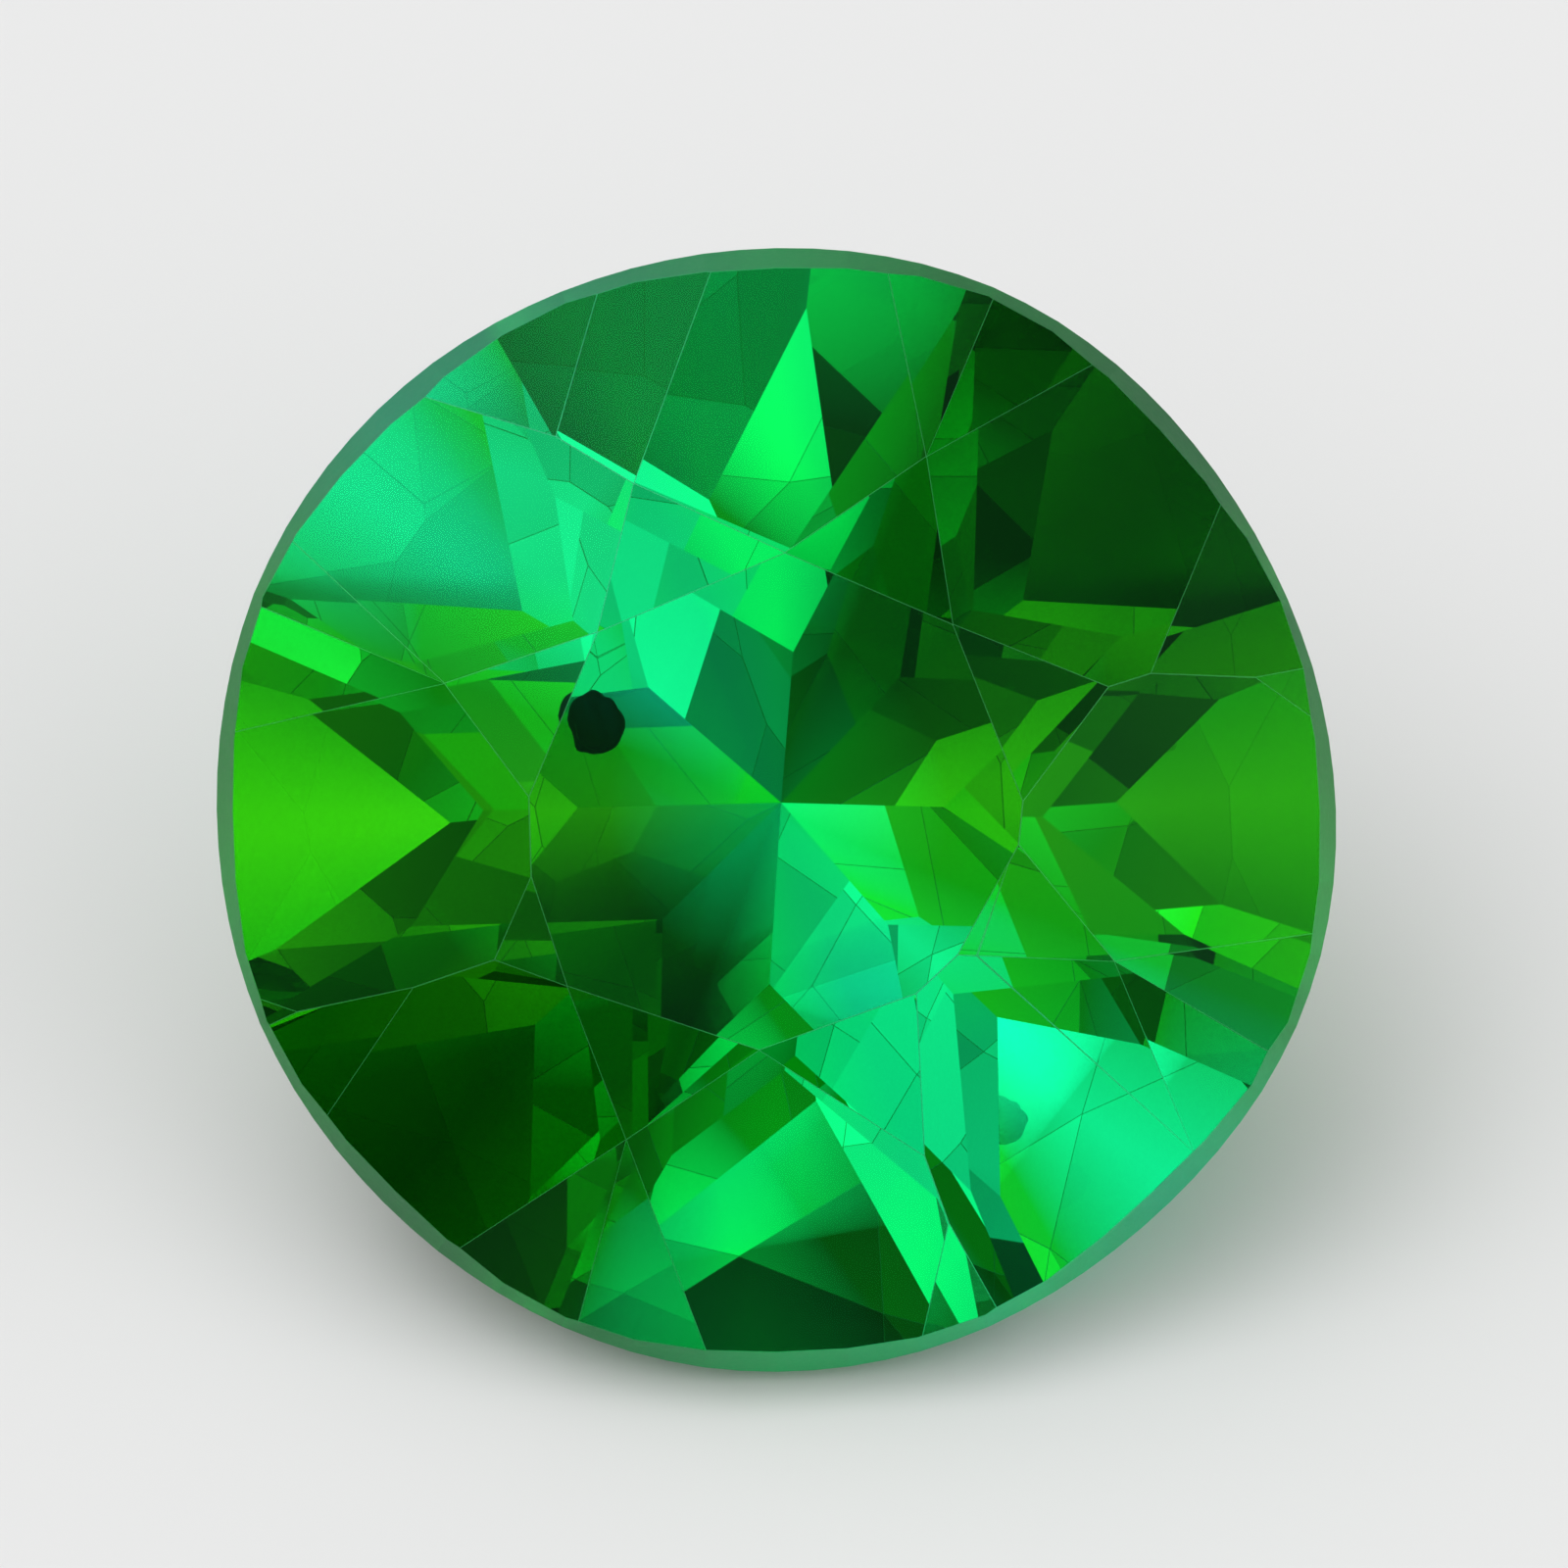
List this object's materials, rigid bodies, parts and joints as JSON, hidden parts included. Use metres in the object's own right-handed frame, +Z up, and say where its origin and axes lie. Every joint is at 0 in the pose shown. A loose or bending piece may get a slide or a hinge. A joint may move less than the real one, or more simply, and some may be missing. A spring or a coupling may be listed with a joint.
{
  "type": "round cut tourmaline",
  "caption": "Loose round brilliant cut green tourmaline with a thin ground girdle and a pointed culet, lying on one of its pavilion facets.",
  "frame": {"origin": "bottom centre of the box around the stone, on the surface that it lies on", "axes": "+Z up from the surface, -Y the way the table faces, +X to the right when looking at the table"},
  "size_m": [0.008, 0.0062, 0.0059],
  "materials": {
    "tourmaline": "polished facets, see-through, green going to teal across one diagonal and dark green across the other"
  },
  "bodies": {
    "root": {"tourmaline": "tourmaline"}
  },
  "joints": []
}
